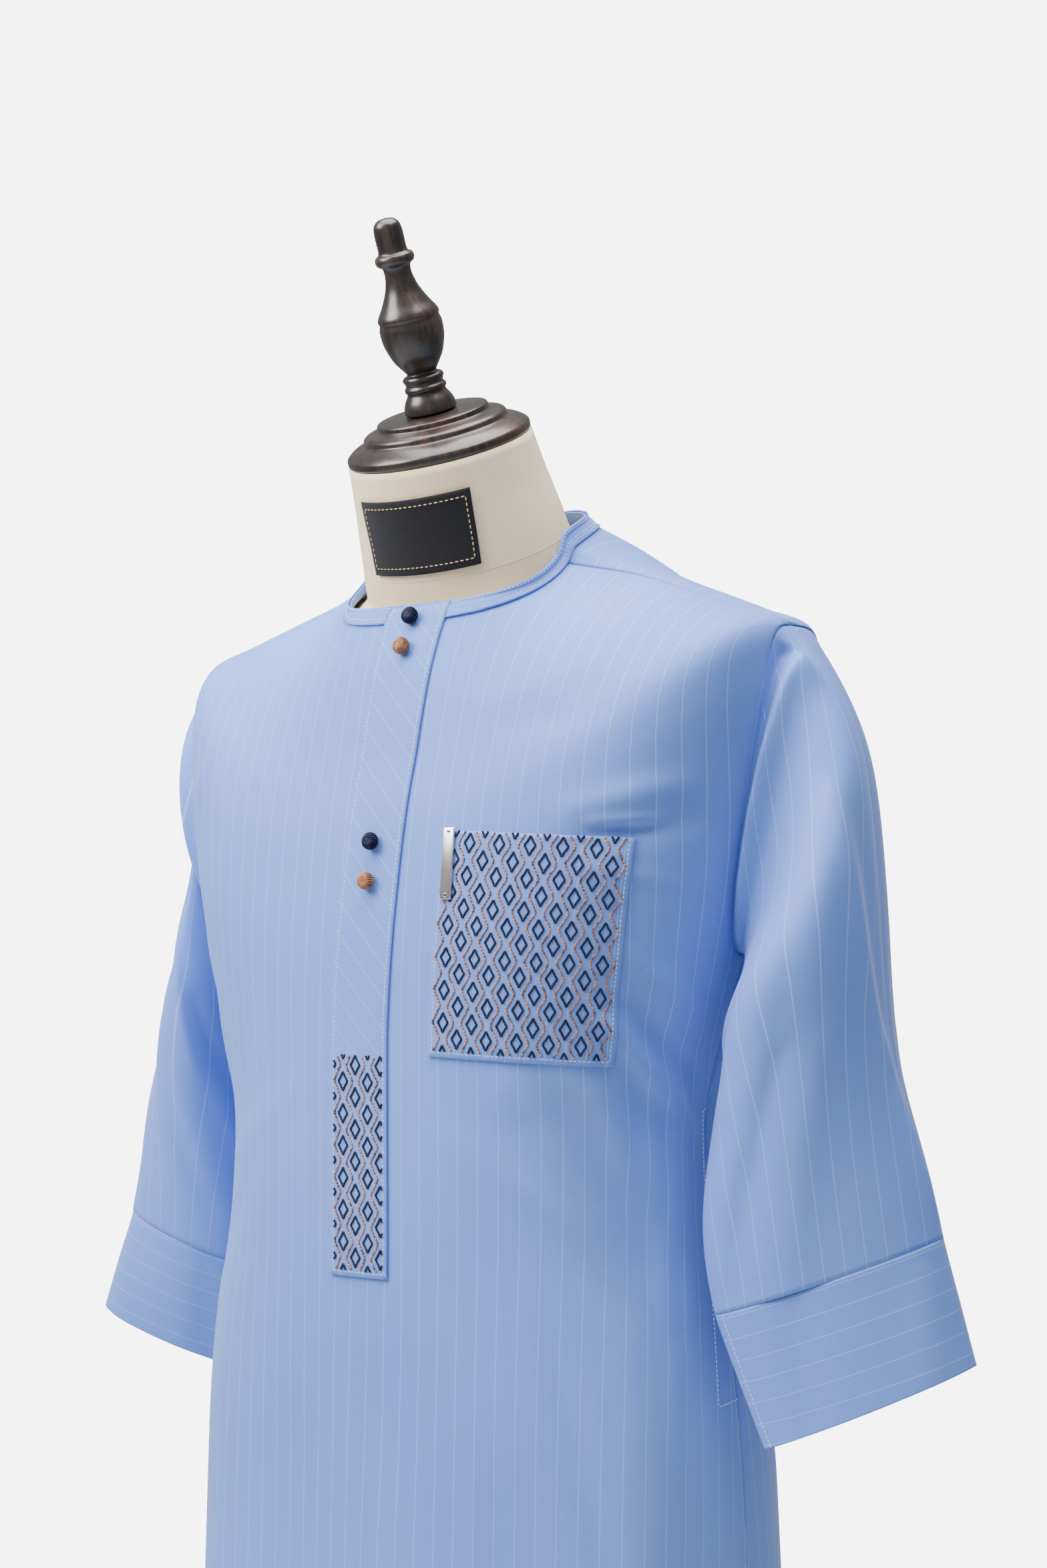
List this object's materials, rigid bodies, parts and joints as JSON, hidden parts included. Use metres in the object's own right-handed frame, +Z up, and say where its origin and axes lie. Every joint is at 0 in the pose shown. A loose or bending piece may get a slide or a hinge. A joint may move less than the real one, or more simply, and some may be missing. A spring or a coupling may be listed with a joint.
{
  "type": "kaftan on limbless dress form",
  "caption": "Collarless long-sleeved men's kaftan with a button placket, chest pocket and deep cuffs, worn by a limbless dress form on a round stand.",
  "frame": {"origin": "middle of the stand's round foot, on the floor", "axes": "+Z up, -Y the way the kaftan faces, +X the wearer's left"},
  "size_m": [0.738, 0.35, 1.7352],
  "materials": {
    "suiting": "light blue pinstriped twill suiting",
    "embroidered": "the same suiting, embroidered",
    "navy_thread": "navy thread wound on a ball",
    "copper_thread": "copper thread wound on a ball",
    "linen": "cream linen covering",
    "label": "black woven patch",
    "dark_wood": "dark satin stain",
    "silver": "polished",
    "black_metal": "black satin"
  },
  "bodies": {
    "root": {"front_panel": "suiting", "back_panel": "suiting", "sleeve_left": "suiting", "sleeve_right": "suiting", "cuff_left": "suiting", "cuff_right": "suiting", "neck_band": "suiting", "placket": "suiting", "chest_pocket": "embroidered", "pocket_bar": "silver", "button_1": "navy_thread", "button_2": "copper_thread", "button_3": "navy_thread", "button_4": "copper_thread", "dress_form": "linen", "neck_label": "label", "neck_cap": "dark_wood", "finial": "dark_wood", "stand_pole": "black_metal", "stand_base": "black_metal"}
  },
  "joints": []
}
